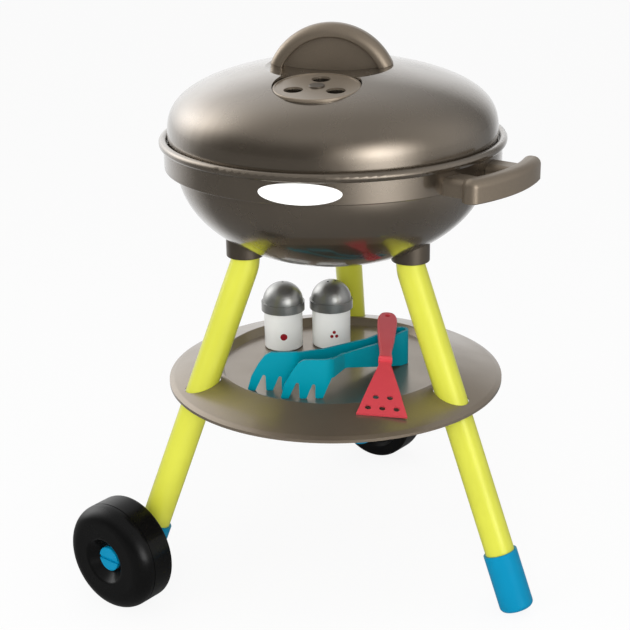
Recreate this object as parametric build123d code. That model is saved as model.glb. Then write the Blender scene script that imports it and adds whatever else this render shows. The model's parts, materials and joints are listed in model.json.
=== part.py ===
"""Toy kettle barbecue: a lidded bowl on three splayed legs, with a tray, two wheels and its utensils.

Frame: +Z up, floor at Z = 0, origin on the floor under the bowl's axis. The plain leg with the foot
cap points along +X, and the two legs with wheels stand 120 degrees to either side of it.
All sizes are in millimetres.
"""
import os
from math import atan, cos, degrees, hypot, pi, radians, sin, sqrt, tan

from build123d import *

# General
OVERRUN = 2.0            # how far a cutting shape runs past the face that it opens
SEAT_GAP = 0.3           # clearance between loose pieces and what they rest on
LEG_COUNT = 3
LEG_STEP = 360 / LEG_COUNT
FOOT_AZIMUTH = 0
WHEEL_AZIMUTHS = {"left": -LEG_STEP, "right": LEG_STEP}

# Screws that hold the handles and sockets, seen only from inside
SCREW_R = 2.0
SCREW_HEAD_R = 4.0
SCREW_HEAD_H = 2.4
SCREW_SLOT_W = 1.2
SCREW_SLOT_D = 1.0
SCREW_HOLE_GAP = 0.2

# Bowl
BOWL_MOUTH_R = 189.4     # outside, at the band's bottom
BOWL_DEPTH = 121.0
BOWL_WALL = 3.0
BOWL_FLAT_H = 1.5        # the flat ground off the bottom of the curve
BAND_R = 204.5
BAND_BOTTOM_Z = 528.2
BAND_H = 25.8
BAND_EDGE_ROUND = 1.2
LIP_R = 210.0
LIP_H = 10.6
LIP_ROUND = 5.4
LIP_ROUND_SHARE = 0.49   # of the lip's width, at most
LID_LEDGE_H = 3.0
LID_LEDGE_W = 3.4
GRATE_SHELF_W = 12.0     # the step under the grate, inward from the bowl's wall
LIP_TOP_Z = BAND_BOTTOM_Z + BAND_H + LIP_H

# Lid
LID_R = 199.3
LID_BASE_Z = 563.2       # where the dome's curve starts
LID_RISE = 92.6
LID_WALL = 3.0
LID_FIT = 0.8            # radial clearance inside the lip
LID_SKIRT = 7.0          # straight part below the curve
LID_SIDE_POWER = 1.493
LID_TOP_POWER = 3.123
LID_CURVE_STEPS = 14
LEDGE_TOP_Z = LID_BASE_Z - LID_SKIRT - SEAT_GAP
LID_TURN = 28            # azimuth of the lid handle's long side

# Lid handle, an arched fin
FIN_HALF_LENGTH = 75.0
FIN_TOP_Z = 695.5
FIN_TIP_Z = 644.5
FIN_THICK = 30.0
FIN_WEB = 10.0
FIN_RIM = 16.0
FIN_ROUND = 12.0
FIN_EDGE_ROUND = 2.0     # the rim's inner edges
FIN_SEAT_GAP = 0.1       # between the handle and the lid
FIN_SKIN = 3.0           # how far the web stands in front of the scoop's back wall
FIN_SCREW_SPACING = 122.0
FIN_SCREW_BACK = 6.5     # behind the fin's middle
FIN_SCREW_LENGTH = 12.0

# Finger scoop in the lid, in front of the handle
SCOOP_R = 320.0
SCOOP_FORWARD = 28.0
SCOOP_FLOOR_Z = 638.5

# Vent disc on the lid
VENT_R = 50.5
VENT_THICK = 3.6
VENT_ROUND = 1.4
VENT_RIM_W = 3.0
VENT_RIM_H = 0.8
VENT_FORWARD = 100.0     # from the lid's axis to the disc's axis
VENT_Z = 639.3           # top of the disc at its axis
VENT_TILT = 6.5
VENT_RIM_GAP = 0.6
VENT_HOLE_R = 11.0
VENT_HOLE_PITCH_R = 28.0
VENT_HOLE_COUNT = 3
VENT_HOLE_REACH = 56.0   # length of the tool that opens the holes in the lid
VENT_FACE_GAP = 0.1
VENT_PIN_R = 4.0
VENT_PIN_GAP = 0.1
VENT_BUTTON_R = 9.0
VENT_BUTTON_H = 2.0
VENT_BARB_R = 6.0
VENT_BARB_H = 3.0

# Bowl handle
GRIP_OUT_X = 261.0       # outermost point of the grip
GRIP_BOW_R = 204.5       # curve of the grip's outer face, seen from above
GRIP_THICK = 22.0
GRIP_HALF_W = 72.5
GRIP_H = 27.0
GRIP_TOP_ROUND = 9.0
GRIP_END_ROUND = 10.0
GRIP_EDGE_ROUND = 1.5
ARM_CENTRE_Y = 39.0
ARM_W = 34.0
ARM_H = 20.0
ARM_ROUND = 8.0
HANDLE_SCREW_UP = 10.0   # above the band's bottom
HANDLE_SCREW_LENGTH = 22.0

# Plain oval plate on the band
LABEL_AZIMUTH = -62.5
LABEL_W = 94.0
LABEL_H = 24.5
LABEL_THICK = 0.6

# Cooking grate inside the bowl
GRATE_R = 188.5
GRATE_RING = 6.0
GRATE_BAR_R = 2.5
GRATE_BAR_PITCH = 24.0
GRATE_BRACE_SPACING = 150.0

# Legs and their sockets
LEG_R = 18.1
LEG_TOP_R = 17.2
LEG_WALL = 2.2
LEG_FLOOR_R = 282.3      # where the leg's centreline meets the floor
SOCKET_CENTRE_R = 116.0
SOCKET_R = 23.1
SOCKET_BOTTOM_Z = 423.1
SOCKET_ROOF = 2.0        # left between the bowl's skin and the leg's end
SOCKET_FIT = 0.2
SOCKET_ROUND = 1.5
SPIGOT_R = 13.2          # plug inside the leg's top that takes the screw
SPIGOT_DROP = 7.0        # how far the plug hangs below the socket
SOCKET_SCREW_LENGTH = 14.0
LEG_BEND = 8.0           # leg length taken by the bend under the socket
LUG_W = 8.0
LUG_H = 13.0
LUG_OUT = 6.0
LUG_FIT = 0.5

# Tray
TRAY_R = 212.0
TRAY_EDGE_Z = 249.0
TRAY_EDGE_H = 3.6
TRAY_RIDGE_R = 206.0
TRAY_RIDGE_Z = 255.2
TRAY_BROW_R = 149.0
TRAY_BROW_Z = 272.0
TRAY_DISH_R = 142.0
TRAY_DISH_Z = 262.0
TRAY_WALL = 2.5
TRAY_RIDGE_ROUND = 4.0
TRAY_BROW_ROUND = 2.0
TRAY_HOLE_GAP = 0.8

# Foot cap and axle caps
CAP_R = 21.0
CAP_FIT = 0.2
CAP_FLOOR = 4.0
CAP_ROUND = 6.0
CAP_MOUTH_ROUND = 0.5
FOOT_CAP_LENGTH = 74.0
AXLE_CAP_LENGTH = 54.0
AXLE_CAP_DROP = 33.0     # cap length below the axle, along the leg
AXLE_BOSS_R = 15.0

# Wheels and axle pins
WHEEL_R = 67.6
WHEEL_W = 52.0
WHEEL_INNER_Y = 250.0
WHEEL_OUT_ROUND = 20.0
WHEEL_IN_ROUND = 4.0
WHEEL_WALL = 3.0
WHEEL_DISH_R = 29.5
WHEEL_DISH_ROUND = 5.0
WHEEL_DISH_DEPTH = 13.0
WHEEL_SEAT_R = 17.0
WHEEL_BACK_R = 48.0      # hollow in the inner face, clear of the leg's end
WHEEL_BACK_SLOPE = 4.0
WHEEL_BACK_DEPTH = 8.0
WHEEL_SIDE_GAP = 0.5
WHEEL_SEAM_W = 1.2
WHEEL_SEAM_D = 0.6
PIN_R = 8.0
PIN_GAP = 0.1
PIN_HEAD_R = 15.6
PIN_HEAD_H = 5.0
PIN_HEAD_ROUND = 1.2
PIN_SLOT_W = 4.0
PIN_SLOT_D = 2.2
PIN_FIT = 0.1

# Pepper and salt shakers
SHAKER_R = 25.2
SHAKER_WALL = 1.6
SHAKER_BODY_H = 62.0
SHAKER_NECK_R = 24.2
SHAKER_NECK_H = 11.0
SHAKER_FOOT_ROUND = 2.5
SHAKER_CAP_R = 28.4
SHAKER_CAP_FIT = 0.15
SHAKER_RIM_H = 11.5
SHAKER_DOME_R = 26.4
SHAKER_HOLE_R = 1.5
SHAKER_HOLE_PITCH_R = 6.0
SHAKER_HEIGHT = 88.5
PEPPER_PLACE = (-94.4, 11.0)
SALT_PLACE = (-48.5, 54.7)
PEPPER_HOLES = 1
SALT_HOLES = 3

# Tongs, seen from above in their own frame: along the arms, then across
TONGS_PLACE = (68.7, 61.0)
TONGS_AZIMUTH = -107.0
TONGS_THICK = 3.6
TONGS_BEND_R = 7.5       # to the middle of the strap
TONGS_BEND_CENTRE = (8.0, -1.5)
TONGS_BEND_H = 45.0
TONGS_NECK_TOP = 41.0
TONGS_CLAW_TOP = 50.0
TONGS_NECK_BOTTOM = 25.0
TONGS_LAP_ANGLE = 24.0
TONGS_LAP_GAP = 0.3
TONGS_LAP_SLACK = 2.0    # degrees left between the lap's end and its step
FRONT_ARM_BEND = (115.0, 22.0)
FRONT_ARM_CORNER = (147.0, 40.0)
REAR_ARM_BEND = (60.0, -8.5)
REAR_ARM_CORNER = (166.0, -5.0)
TONGS_CORNER_ROUND = 14.0
CLAW_TURN = -36.0        # from the arms' direction
CLAW_START = 9.5         # from the corner to the first finger's edge
CLAW_REACH = 51.4
FINGER_GAP_H = 27.0
FINGER_ROUND = 2.0
CLAW_CORNER_ROUND = 8.0

# Spatula
SPATULA_PLACE = (147.6, -101.8, 263.7)
SPATULA_AZIMUTH = 33.0
SPATULA_TILT = 25.0      # of the blade
SPATULA_ROLL = 4.6
SPATULA_KINK = 19.0      # between the blade and the handle
BLADE_W = 60.0
BLADE_LENGTH = 85.0
BLADE_THICK = 2.6
NECK_W = 15.0
HANDLE_LENGTH = 125.0
HANDLE_W = 24.0
HANDLE_THICK = 9.0
HANDLE_ROUND = 3.0
HANG_HOLE_R = 3.6
HANG_HOLE_INSET = 12.0
BLADE_HOLE_R = 3.7

# Places of the outline's points along each piece, as shares of that piece's sizes
CLAW_FINGER_SHARES = (0, 0.18, 0.39, 0.55, 0.81, 1)
CLAW_GAP_TOP_SHARES = (0.17, 0.56)
CLAW_BACK_SHARES = ((0.9, 0.36), (0.72, 0.7), (0.56, 0.92), (0.42, 1))
CLAW_INNER_SHARES = ((-0.08, 0.2), (-0.21, 0.5))
BLADE_SIDE_SHARES = ((0.5, 0), (0.3, 0.52), (0.13, 0.93))
BLADE_HOLE_SHARES = ((-0.28, 0.13), (0, 0.13), (0.28, 0.13), (-0.14, 0.33), (0.14, 0.33))
HANDLE_SIDE_SHARES = ((0.7, 0), (0.62, 0.1), (0.78, 0.38), (1, 0.72), (0.86, 0.94))

# Derived: the leg's slope, from the floor to the socket
LEG_CORNER_Z = SOCKET_BOTTOM_Z - LEG_BEND
LEG_SPREAD = (LEG_FLOOR_R - SOCKET_CENTRE_R) / LEG_CORNER_Z
LEG_TILT = degrees(atan(LEG_SPREAD))
LEG_BEND_R = LEG_BEND / tan(radians(LEG_TILT) / 2)
SOCKET_TOP_Z = BAND_BOTTOM_Z - BOWL_DEPTH * sqrt(1 - ((SOCKET_CENTRE_R + SOCKET_R) / BOWL_MOUTH_R) ** 2)


def leg_radius(z):
    """Distance of a leg's centreline from the grill's axis at a height."""
    return LEG_FLOOR_R - LEG_SPREAD * z


# Derived: the axle crosses the leg's centreline at the wheel's own radius above the floor
AXLE_LEG_R = leg_radius(WHEEL_R)
AXLE_X = AXLE_LEG_R * cos(radians(LEG_STEP))
AXLE_LEG_Y = AXLE_LEG_R * sin(radians(LEG_STEP))


def turned(azimuth, shape):
    """A shape turned about the grill's axis."""
    return Rot(0, 0, azimuth) * shape


def spin(section):
    """A section drawn in radius and height, revolved about the Z axis."""
    return revolve(Plane.XZ * section, Axis.Z)


def block(low, high):
    """A rectangle between two corners, in radius and height."""
    width, height = high[0] - low[0], high[1] - low[1]
    middle = ((low[0] + high[0]) / 2, (low[1] + high[1]) / 2)
    return Pos(*middle) * Rectangle(width, height)


def standing(radius, height):
    """A cylinder that stands on its own origin."""
    return Pos(0, 0, height / 2) * Cylinder(radius, height)


def screw(length):
    """A pan head screw: its shank runs down from the origin, its head stands up from it."""
    head = standing(SCREW_HEAD_R, SCREW_HEAD_H)
    slot = Pos(0, 0, SCREW_HEAD_H - SCREW_SLOT_D / 2) * Box(2 * SCREW_HEAD_R, SCREW_SLOT_W, SCREW_SLOT_D)
    shank = Pos(0, 0, -length / 2) * Cylinder(SCREW_R, length)
    return head + shank - slot


# Bowl


def bowl_surface_z(radius, inset=0.0):
    """Height of the bowl's curved skin at a radius, on the outside or one wall further in."""
    across, deep = BOWL_MOUTH_R - inset, BOWL_DEPTH - inset
    return BAND_BOTTOM_Z - deep * sqrt(1 - (radius / across) ** 2)


def bowl_half_section(inset=0.0):
    """Half of the bowl's curved section, one wall further in where asked."""
    curve = Pos(0, BAND_BOTTOM_Z) * Ellipse(BOWL_MOUTH_R - inset, BOWL_DEPTH - inset)
    floor_z = BAND_BOTTOM_Z - BOWL_DEPTH + BOWL_FLAT_H + inset
    return curve & block((0, floor_z), (BOWL_MOUTH_R, BAND_BOTTOM_Z))


def bowl_solid():
    """The bowl below its band, filled, as a tool for what fits against it."""
    return spin(bowl_half_section())


def handle_screw_places():
    """Screws through the band into the handle's arms, with their heads inside the bowl."""
    z = BAND_BOTTOM_Z + HANDLE_SCREW_UP
    inside = BAND_R - BOWL_WALL
    x = sqrt(inside ** 2 - (ARM_CENTRE_Y + SCREW_HEAD_R) ** 2)
    return [Pos(x, side * ARM_CENTRE_Y, z) * Rot(0, -90, 0) for side in (-1, 1)]


def socket_screw_places():
    """Screws through the bowl into the saddles, square to the bowl's skin."""
    radius = SOCKET_CENTRE_R
    z = bowl_surface_z(radius, BOWL_WALL) + SCREW_HOLE_GAP
    across, deep = BOWL_MOUTH_R - BOWL_WALL, BOWL_DEPTH - BOWL_WALL
    slope = degrees(atan(deep / across * radius / across / sqrt(1 - (radius / across) ** 2)))
    return [Rot(0, 0, turn * LEG_STEP) * Pos(radius, 0, z) * Rot(0, -slope, 0) for turn in range(LEG_COUNT)]


def make_bowl():
    """The bowl with its band, its rounded lip and the ledge that the lid rests on."""
    outside = bowl_half_section() + block((0, BAND_BOTTOM_Z), (BAND_R, LIP_TOP_Z - LIP_ROUND))
    lip_inside = LID_R + LID_FIT
    lip_bottom = LIP_TOP_Z - LIP_H
    lip_w = LIP_R - lip_inside
    lip = Pos(lip_inside + lip_w / 2, lip_bottom + LIP_H / 2) * RectangleRounded(
        lip_w, LIP_H, min(LIP_ROUND, lip_w * LIP_ROUND_SHARE)
    )
    mouth = block((0, BAND_BOTTOM_Z + BOWL_WALL), (BAND_R - BOWL_WALL, LEDGE_TOP_Z))
    throat = block((0, BAND_BOTTOM_Z - OVERRUN), (BOWL_MOUTH_R - BOWL_WALL - GRATE_SHELF_W, LEDGE_TOP_Z))
    ledge_inside = BAND_R - BOWL_WALL - LID_LEDGE_W - LID_WALL
    ledge = block((ledge_inside, LEDGE_TOP_Z - LID_LEDGE_H), (BAND_R, LEDGE_TOP_Z))
    lid_seat = block((0, LEDGE_TOP_Z), (lip_inside, LIP_TOP_Z - LIP_ROUND + OVERRUN))
    section = outside + lip - mouth - throat - bowl_half_section(BOWL_WALL)
    section = section + ledge - lid_seat
    low_edge = section.vertices().sort_by_distance((BAND_R, BAND_BOTTOM_Z))[0]
    bowl = spin(fillet(low_edge, BAND_EDGE_ROUND))
    hole = standing(SCREW_R + SCREW_HOLE_GAP, 2 * BOWL_WALL + 2 * OVERRUN)
    for place in handle_screw_places() + socket_screw_places():
        bowl -= place * Pos(0, 0, -2 * BOWL_WALL - OVERRUN) * hole
    return bowl


def make_bowl_handle():
    """The side handle: a bowed grip on two arms that fit the band."""
    centre_x = GRIP_OUT_X - GRIP_BOW_R
    ring = Pos(centre_x, 0) * (Circle(GRIP_BOW_R) - Circle(GRIP_BOW_R - GRIP_THICK))
    reach = block((BAND_R, -GRIP_HALF_W), (LIP_R + GRIP_OUT_X, GRIP_HALF_W))
    grip_plan = ring & reach
    grip = Pos(0, 0, BAND_BOTTOM_Z) * extrude(grip_plan, GRIP_H)
    uprights = grip.edges().filter_by(Axis.Z)
    grip = fillet(uprights, GRIP_END_ROUND)
    top = grip.faces().sort_by(Axis.Z)[-1]
    grip = fillet(top.edges(), GRIP_TOP_ROUND)
    bottom = grip.faces().sort_by(Axis.Z)[0]
    grip = fillet(bottom.edges(), GRIP_EDGE_ROUND)
    handle = grip
    arm_x = GRIP_OUT_X - GRIP_THICK / 2
    start_x = BAND_R / 2
    for side in (-1, 1):
        arm = Pos((start_x + arm_x) / 2, side * ARM_CENTRE_Y, BAND_BOTTOM_Z + ARM_H / 2) * Box(
            arm_x - start_x, ARM_W, ARM_H
        )
        lengths = arm.edges().filter_by(Axis.X).sort_by(Axis.Z)[-2:]
        arm = fillet(lengths, ARM_ROUND)
        handle += arm & extrude(
            Pos(0, 0, BAND_BOTTOM_Z - OVERRUN) * (Pos(centre_x, 0) * Circle(GRIP_BOW_R - GRIP_THICK / 2)),
            GRIP_H + 2 * OVERRUN,
        )
    handle -= Pos(0, 0, BAND_BOTTOM_Z - OVERRUN) * standing(BAND_R, GRIP_H + 2 * OVERRUN)
    for place in handle_screw_places():
        handle -= place * screw(HANDLE_SCREW_LENGTH)
    return handle


def make_label_plate():
    """A thin oval plate on the band, left bare."""
    middle_z = BAND_BOTTOM_Z + BAND_H / 2
    skin = standing(BAND_R + LABEL_THICK, BAND_H) - standing(BAND_R, BAND_H)
    oval = extrude(Plane.YZ * Ellipse(LABEL_W / 2, LABEL_H / 2), BAND_R + 2 * OVERRUN)
    plate = (Pos(0, 0, BAND_BOTTOM_Z) * skin) & (Pos(0, 0, middle_z) * oval)
    return turned(LABEL_AZIMUTH, plate)


def make_cooking_grate():
    """A round grate that rests on the step inside the band."""
    bottom = BAND_BOTTOM_Z + BOWL_WALL + SEAT_GAP
    ring = standing(GRATE_R, GRATE_RING) - standing(GRATE_R - GRATE_RING, GRATE_RING)
    grate = ring
    middle_r = GRATE_R - GRATE_RING / 2
    count = int(middle_r / GRATE_BAR_PITCH)
    for index in range(-count, count + 1):
        offset = index * GRATE_BAR_PITCH
        half = sqrt(middle_r ** 2 - offset ** 2)
        bar = Pos(0, offset, GRATE_RING / 2) * Rot(0, 90, 0) * Cylinder(GRATE_BAR_R, 2 * half)
        grate += bar
    for side in (-1, 1):
        offset = side * GRATE_BRACE_SPACING / 2
        half = sqrt(middle_r ** 2 - offset ** 2)
        grate += Pos(offset, 0, GRATE_BAR_R) * Box(2 * GRATE_BAR_R, 2 * half, 2 * GRATE_BAR_R)
    return Pos(0, 0, bottom) * grate


# Lid


def dome(inset=0.0):
    """The lid's filled dome with its straight skirt, one wall further in where asked."""
    across, rise = LID_R - inset, LID_RISE - inset
    points = []
    for step in range(LID_CURVE_STEPS + 1):
        angle = pi / 2 * step / LID_CURVE_STEPS
        radius = across * cos(angle) ** (2 / LID_SIDE_POWER) if step < LID_CURVE_STEPS else 0
        points.append((radius, LID_BASE_Z + rise * sin(angle) ** (2 / LID_TOP_POWER)))
    bottom = LID_BASE_Z - LID_SKIRT - (OVERRUN if inset else 0)
    curve = Spline(points, tangents=[(0, 1), (-1, 0)])
    outline = [
        Line((0, bottom), (across, bottom)),
        Line((across, bottom), points[0]),
        curve,
        Line(points[-1], (0, bottom)),
    ]
    return spin(make_face(Wire(outline)))


def scoop(grow=0.0):
    """The round hollow in front of the handle, or the same grown by a wall."""
    centre_z = SCOOP_FLOOR_Z + SCOOP_R
    ball = Pos(0, -SCOOP_FORWARD, centre_z) * Sphere(SCOOP_R + grow)
    back = -(FIN_WEB / 2 - FIN_SKIN) + grow
    front = Pos(0, back - LID_R / 2, LID_BASE_Z + LID_RISE) * Box(2 * LID_R, LID_R, LID_RISE)
    return ball & front


def vent_place(up=0.0):
    """The vent disc's seat frame: its Z is the disc's turning axis, its origin on the disc's top."""
    return Pos(0, -VENT_FORWARD, VENT_Z) * Rot(VENT_TILT, 0, 0) * Pos(0, 0, up)


def vent_holes(radius, height):
    """The ring of round vent holes, as one group."""
    hole = Pos(0, VENT_HOLE_PITCH_R, 0) * Cylinder(radius, height)
    return [Rot(0, 0, turn * 360 / VENT_HOLE_COUNT) * hole for turn in range(VENT_HOLE_COUNT)]


def fin_screw_places():
    """Screws up through the lid into the handle's web, from the lid's inside."""
    x = FIN_SCREW_SPACING / 2
    share = (hypot(x, FIN_SCREW_BACK) + SCREW_HEAD_R) / (LID_R - LID_WALL)
    height = (1 - share ** LID_SIDE_POWER) ** (1 / LID_TOP_POWER)
    z = LID_BASE_Z + (LID_RISE - LID_WALL) * height - SCREW_HOLE_GAP
    return [Pos(side * x, FIN_SCREW_BACK, z) * Rot(180, 0, 0) for side in (-1, 1)]


def make_lid():
    """The domed lid with its finger scoop and the tilted round seat of the vent disc."""
    lid = dome() - dome(LID_WALL)
    lid += scoop(LID_WALL) & dome()
    seat_r = VENT_R + VENT_RIM_GAP
    seat_top = -VENT_THICK - VENT_FACE_GAP
    lid += vent_place(seat_top - LID_WALL) * standing(seat_r + LID_WALL / 2, LID_WALL)
    lid -= scoop()
    lid -= vent_place(seat_top) * standing(seat_r, SCOOP_FORWARD)
    hole_depth = VENT_HOLE_REACH
    for hole in vent_holes(VENT_HOLE_R, hole_depth):
        lid -= vent_place() * hole
    lid -= vent_place() * Cylinder(VENT_PIN_R + VENT_PIN_GAP, hole_depth)
    for place in fin_screw_places():
        lid -= place * Pos(0, 0, -FIN_SCREW_LENGTH) * standing(SCREW_R + SCREW_HOLE_GAP, FIN_SCREW_LENGTH)
    return turned(LID_TURN, lid)


def make_lid_handle():
    """The arched fin: a thin web inside a rounded rim, shaped to the dome and the scoop."""
    rise = FIN_TOP_Z - FIN_TIP_Z
    radius = (FIN_HALF_LENGTH ** 2 + rise ** 2) / (2 * rise)
    centre_z = FIN_TOP_Z - radius
    wheel = Rot(90, 0, 0) * Cylinder(radius, FIN_THICK)
    wheel = fillet(wheel.edges().filter_by(GeomType.CIRCLE), FIN_ROUND)
    hollow_h = (FIN_THICK - FIN_WEB) / 2
    for side in (-1, 1):
        middle = side * (FIN_WEB / 2 + hollow_h)
        wheel -= Pos(0, middle, 0) * Rot(90, 0, 0) * Cylinder(radius - FIN_RIM, 2 * hollow_h)
    rings = wheel.edges().filter_by(GeomType.CIRCLE)
    inner = [edge for edge in rings if edge.radius < radius - FIN_RIM + FIN_EDGE_ROUND]
    wheel = fillet([edge for edge in inner if abs(edge.center().Y) > FIN_WEB], FIN_EDGE_ROUND)
    fin = Pos(0, 0, centre_z) * wheel
    fin -= Pos(0, -FIN_SEAT_GAP, FIN_SEAT_GAP) * (dome() - scoop())
    top = [solid for solid in fin.solids() if solid.center().Z > FIN_TIP_Z]
    fin = sorted(top, key=lambda solid: solid.volume)[-1]
    for place in fin_screw_places():
        fin -= place * screw(FIN_SCREW_LENGTH)
    return turned(LID_TURN, fin)


def make_vent_disc():
    """The turning vent disc with its three holes."""
    disc = standing(VENT_R, VENT_THICK)
    disc = fillet(disc.edges().sort_by(Axis.Z)[-1], VENT_ROUND)
    disc = Pos(0, 0, -VENT_THICK) * disc
    disc -= Pos(0, 0, -VENT_RIM_H) * standing(VENT_R - VENT_RIM_W, VENT_THICK)
    for hole in vent_holes(VENT_HOLE_R, 4 * VENT_THICK):
        disc -= hole
    disc -= Cylinder(VENT_PIN_R + VENT_PIN_GAP, 4 * VENT_THICK)
    return turned(LID_TURN, vent_place() * disc)


def make_vent_pivot():
    """The plain button that pins the vent disc to the lid."""
    grip = VENT_THICK + VENT_FACE_GAP + LID_WALL
    button = standing(VENT_BUTTON_R, VENT_BUTTON_H)
    button = fillet(button.edges().sort_by(Axis.Z)[-1], VENT_BUTTON_H / 2)
    pin = Pos(0, 0, -grip - VENT_BARB_H) * standing(VENT_PIN_R, grip + VENT_BARB_H + VENT_FACE_GAP)
    barb = Pos(0, 0, -grip - VENT_BARB_H) * standing(VENT_BARB_R, VENT_BARB_H)
    pivot = Pos(0, 0, VENT_FACE_GAP - VENT_RIM_H) * button + pin + barb
    return turned(LID_TURN, vent_place() * pivot)


# Legs, sockets and tray


def leg_frame(z):
    """A frame on the plain leg's centreline at a height: its Z runs up along the leg."""
    return Pos(leg_radius(z), 0, z) * Rot(0, -LEG_TILT, 0)


def leg_tube(shrink, low_z):
    """The leg's outer shape, or the same made smaller all round, from a height to the socket."""
    length = (LEG_CORNER_Z - low_z) / cos(radians(LEG_TILT)) - LEG_BEND
    tube = leg_frame(low_z) * standing(LEG_R - shrink, length)
    sections = []
    for share in (0, 0.5, 1):
        angle = radians(LEG_TILT) * share
        x = SOCKET_CENTRE_R + LEG_BEND_R * (1 - cos(angle))
        z = SOCKET_BOTTOM_Z - LEG_BEND_R * sin(angle)
        radius = LEG_TOP_R + (LEG_R - LEG_TOP_R) * share - shrink
        sections.append(Pos(x, 0, z) * Rot(0, -degrees(angle), 0) * Circle(radius))
    bend = loft(sections)
    top = Pos(SOCKET_CENTRE_R, 0, SOCKET_BOTTOM_Z) * standing(
        LEG_TOP_R - shrink, SOCKET_TOP_Z - SOCKET_BOTTOM_Z + OVERRUN
    )
    shape = tube + bend + top
    if shrink:
        return shape
    return shape - Pos(0, 0, -SOCKET_ROOF - SEAT_GAP) * bowl_solid()


def tray_top_z(radius):
    """Height of the tray's sloping top at a radius."""
    slope = (TRAY_BROW_Z - TRAY_RIDGE_Z) / (TRAY_RIDGE_R - TRAY_BROW_R)
    return TRAY_BROW_Z - slope * (radius - TRAY_BROW_R)


def tray_crossing_z():
    """Height at which the legs' centrelines cross the tray's top."""
    z = TRAY_BROW_Z
    for _ in range(LEG_COUNT * LEG_COUNT):
        z = tray_top_z(leg_radius(z))
    return z


def lug(grow=0.0):
    """The stop on the leg's inner side at the tray, or the notch that it fits in."""
    width, height = LUG_W + 2 * grow, LUG_H + 2 * grow
    depth = LEG_R / 2 + LUG_OUT + grow
    return leg_frame(tray_crossing_z()) * Pos(-LEG_R / 2 - depth / 2, 0, 0) * Box(depth, width, height)


def axle_bore(azimuth, radius):
    """The hole for an axle pin, moved into the frame of an unturned leg."""
    side = 1 if azimuth > 0 else -1
    bore = Pos(AXLE_X, side * AXLE_LEG_Y, WHEEL_R) * Rot(90, 0, 0) * Cylinder(radius, 4 * CAP_R)
    return turned(-azimuth, bore)


def make_leg(azimuth, low_z, with_axle):
    """One splayed tubular leg, bent upright at its top, with a stop for the tray."""
    leg = leg_tube(0, low_z) - leg_tube(LEG_WALL, low_z)
    leg += lug() - leg_tube(LEG_WALL / 2, low_z)
    if with_axle:
        leg -= axle_bore(azimuth, PIN_R + PIN_FIT)
    return turned(azimuth, leg)


def make_socket(azimuth):
    """A leg socket: a sleeve that fits the bowl's skin, with a plug for the inside of the leg."""
    height = SOCKET_TOP_Z - SOCKET_BOTTOM_Z
    sleeve = standing(SOCKET_R, height)
    rims = sleeve.edges().filter_by(GeomType.CIRCLE).sort_by(Axis.Z)
    sleeve = fillet(rims[0], SOCKET_ROUND)
    sleeve = Pos(SOCKET_CENTRE_R, 0, SOCKET_BOTTOM_Z) * sleeve
    bore = standing(LEG_TOP_R + SOCKET_FIT, height + OVERRUN)
    bore = Pos(SOCKET_CENTRE_R, 0, SOCKET_BOTTOM_Z - OVERRUN) * bore
    bore -= Pos(0, 0, -SOCKET_ROOF) * bowl_solid()
    plug = Pos(SOCKET_CENTRE_R, 0, SOCKET_BOTTOM_Z - SPIGOT_DROP) * standing(SPIGOT_R, height + SPIGOT_DROP)
    socket = sleeve - bore + plug - bowl_solid()
    socket -= socket_screw_places()[0] * screw(SOCKET_SCREW_LENGTH)
    return turned(azimuth, socket)


def make_tray():
    """The round tray: a sloping rim around a flat dish, with three holes for the legs."""
    top = [
        (0, TRAY_DISH_Z),
        (TRAY_DISH_R, TRAY_DISH_Z),
        (TRAY_BROW_R, TRAY_BROW_Z),
        (TRAY_RIDGE_R, TRAY_RIDGE_Z),
        (TRAY_R, TRAY_EDGE_Z + TRAY_EDGE_H),
        (TRAY_R, TRAY_EDGE_Z),
        (TRAY_R - TRAY_WALL, TRAY_EDGE_Z),
        (TRAY_RIDGE_R - TRAY_WALL / 2, TRAY_RIDGE_Z - TRAY_WALL),
        (TRAY_BROW_R, TRAY_BROW_Z - TRAY_WALL),
        (TRAY_DISH_R, TRAY_DISH_Z - TRAY_WALL),
        (0, TRAY_DISH_Z - TRAY_WALL),
    ]
    section = make_face(Polyline(*top, close=True))
    corners = section.vertices()
    section = fillet(corners.sort_by_distance((TRAY_RIDGE_R, TRAY_RIDGE_Z))[0], TRAY_RIDGE_ROUND)
    corners = section.vertices()
    section = fillet(corners.sort_by_distance((TRAY_BROW_R, TRAY_BROW_Z))[0], TRAY_BROW_ROUND)
    tray = spin(section)
    crossing = tray_crossing_z()
    for turn in range(LEG_COUNT):
        hole = leg_frame(crossing) * Cylinder(LEG_R + TRAY_HOLE_GAP, 4 * LEG_R)
        tray -= turned(turn * LEG_STEP, hole + lug(LUG_FIT))
    return tray


# Foot cap, axle caps, pins and wheels


def cap_base_z():
    """Height of the foot cap's end centre, where its rounded inner edge just touches the floor."""
    tilt = radians(LEG_TILT)
    return (CAP_R - CAP_ROUND) * sin(tilt) + CAP_ROUND * (1 - cos(tilt))


def cap_sleeve(low_z, length):
    """A closed sleeve over a leg's end, with a rounded bottom edge."""
    sleeve = standing(CAP_R, length)
    rims = sleeve.edges().filter_by(GeomType.CIRCLE).sort_by(Axis.Z)
    sleeve = fillet(rims[0], CAP_ROUND)
    rims = sleeve.edges().filter_by(GeomType.CIRCLE).sort_by(Axis.Z)
    sleeve = fillet(rims[-1], CAP_MOUTH_ROUND)
    sleeve -= Pos(0, 0, CAP_FLOOR) * standing(LEG_R + CAP_FIT, length)
    return leg_frame(low_z) * sleeve


def leg_end_z(cap_z):
    """Height of a leg's cut end inside its cap."""
    return cap_z + (CAP_FLOOR + SEAT_GAP) * cos(radians(LEG_TILT))


def axle_cap_z():
    """Height of an axle cap's end centre."""
    return WHEEL_R - AXLE_CAP_DROP * cos(radians(LEG_TILT))


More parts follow.
